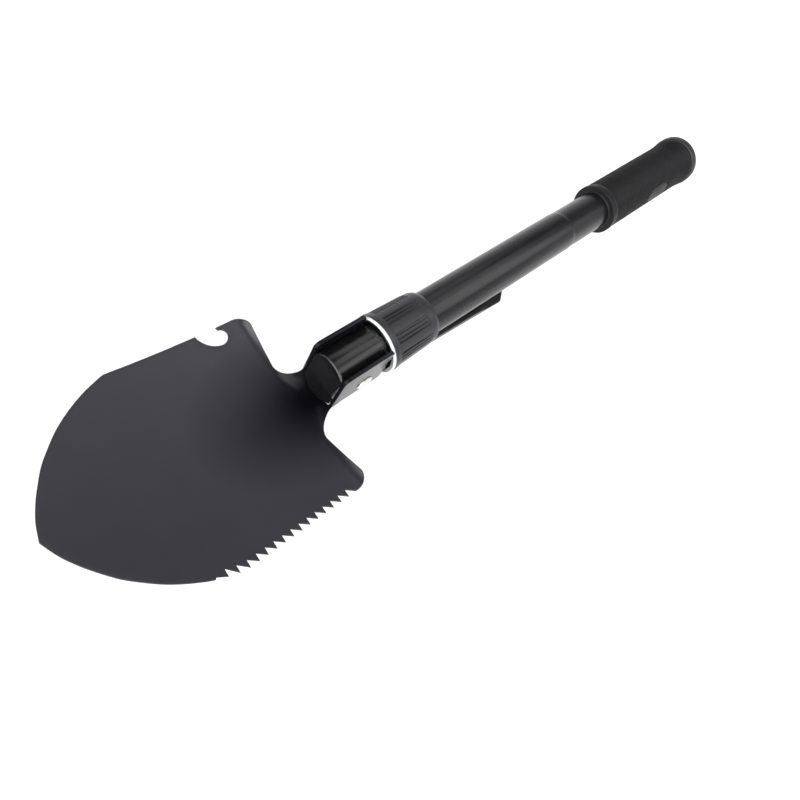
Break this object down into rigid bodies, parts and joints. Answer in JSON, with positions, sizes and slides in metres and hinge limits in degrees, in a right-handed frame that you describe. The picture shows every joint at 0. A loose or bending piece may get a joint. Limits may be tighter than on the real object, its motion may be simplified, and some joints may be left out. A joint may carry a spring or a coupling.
{
  "type": "folding camp shovel",
  "caption": "Folding camp shovel: pointed dished blade with saw edge and opener notch, stowed pick, screw locking collar, tube handle, ribbed grip and screw cap holding a compass.",
  "frame": {"origin": "on the handle tube's axis, at the front face of the locking collar", "axes": "+X along the handle towards the blade's tip, +Y towards the saw edge, +Z out of the blade's hollow side"},
  "size_m": [0.4116, 0.0948, 0.0383],
  "materials": {
    "black_gloss": "gloss black enamel on steel",
    "blade_paint": "satin charcoal black paint",
    "pick_paint": "satin black paint",
    "steel": "plain steel",
    "rivet_steel": "bright zinc plated",
    "grip_rubber": "matte black rubber with fine ribs",
    "black_plastic": "moulded black plastic",
    "white_nylon": "natural white nylon",
    "cap_plastic": "moulded black plastic",
    "seal_rubber": "black rubber",
    "brass": "turned brass",
    "card_white": "off-white card",
    "needle_red": "red enamel",
    "lens_clear": "clear lens"
  },
  "bodies": {
    "handle": {"handle_tube": "black_gloss", "head_fitting": "black_gloss", "head_pins": "steel", "pivot_rivet": "rivet_steel", "pivot_bush": "steel", "pivot_washers": "steel", "grip": "grip_rubber", "cap_socket": "black_plastic"},
    "blade": {"blade": "blade_paint"},
    "pick": {"pick": "pick_paint"},
    "ring": {"thrust_ring": "white_nylon"},
    "collar": {"lock_collar": "black_plastic", "collar_sleeve": "steel"},
    "seal": {"cap_seal": "seal_rubber"},
    "cap": {"end_cap": "cap_plastic", "compass_housing": "brass", "compass_pivot": "steel", "compass_lens": "lens_clear", "compass_bezel": "brass"},
    "card": {"compass_card": "card_white", "compass_needle": "needle_red"}
  },
  "joints": [
    {"name": "blade_fold", "type": "hinge", "parent": "handle", "child": "blade", "pos_m": [0.0137, 0, -0.0052], "axis": [0, -1, 0], "range_deg": [0, 165]},
    {"name": "pick_swing", "type": "hinge", "parent": "handle", "child": "pick", "pos_m": [0.0137, 0, -0.0052], "axis": [0, -1, 0], "range_deg": [0, 90]},
    {"name": "collar_slide", "type": "slide", "parent": "handle", "child": "ring", "axis": [-1, 0, 0], "range_m": [0, 0.0502]},
    {"name": "collar_turn", "type": "hinge", "parent": "ring", "child": "collar", "pos_m": [0, 0, 0], "axis": [-1, 0, 0], "range_deg": [0, 1810]},
    {"name": "cap_slide", "type": "slide", "parent": "handle", "child": "seal", "axis": [-1, 0, 0], "range_m": [0, 0.0142]},
    {"name": "cap_turn", "type": "hinge", "parent": "seal", "child": "cap", "pos_m": [-0.25, 0, 0], "axis": [-1, 0, 0], "range_deg": [0, 2520]},
    {"name": "card_spin", "type": "hinge", "parent": "cap", "child": "card", "pos_m": [-0.2515, 0, 0], "axis": [-1, 0, 0], "continuous": true}
  ],
  "couplings": [
    {"joint": "collar_slide", "follows": "blade_fold", "m_per_rad": 0.01736},
    {"joint": "collar_turn", "follows": "blade_fold", "ratio": 10.908},
    {"joint": "cap_slide", "follows": "cap_turn", "m_per_rad": 0.00031831}
  ]
}
